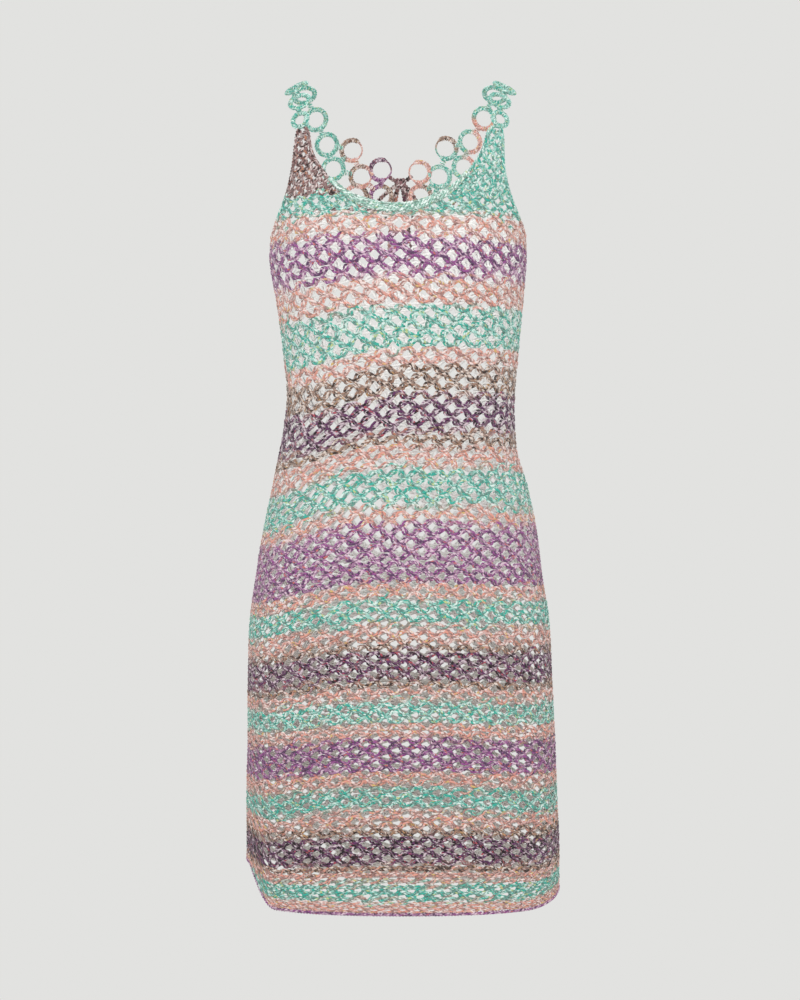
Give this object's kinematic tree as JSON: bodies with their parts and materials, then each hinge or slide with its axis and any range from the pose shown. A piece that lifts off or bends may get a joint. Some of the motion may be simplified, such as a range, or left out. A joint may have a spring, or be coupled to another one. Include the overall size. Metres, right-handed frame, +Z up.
{
  "type": "crochet dress",
  "caption": "Sleeveless striped net crochet dress in worn form, hollow, with scooped neck, ring lace shoulder straps tied at the back and an edged hem.",
  "frame": {"origin": "between the two shoulder straps, level with the undersides of their tops, where the shoulders hold the dress up", "axes": "+Z up along the wearer's height, the front faces -Y, +X to the right seen from the front"},
  "size_m": [0.3271, 0.2273, 0.8489],
  "materials": {
    "net_yarn": "marled space-dyed yarn in crossways stripes, matt",
    "teal_yarn": "marled space-dyed yarn, teal stretch, matt",
    "purple_yarn": "marled space-dyed yarn, purple stretch, matt",
    "ring_yarn": "marled space-dyed yarn crocheted over rings, matt",
    "brown_yarn": "marled space-dyed yarn, brown stretch, matt"
  },
  "bodies": {
    "root": {"front_panel": "net_yarn", "back_panel": "net_yarn", "neckline_trim": "teal_yarn", "hem_edge_front": "purple_yarn", "hem_edge_back": "purple_yarn", "ring_strap_left": "ring_yarn", "ring_strap_right": "ring_yarn", "back_tie": "brown_yarn", "tie_end_left": "brown_yarn", "tie_end_right": "brown_yarn"}
  },
  "joints": []
}
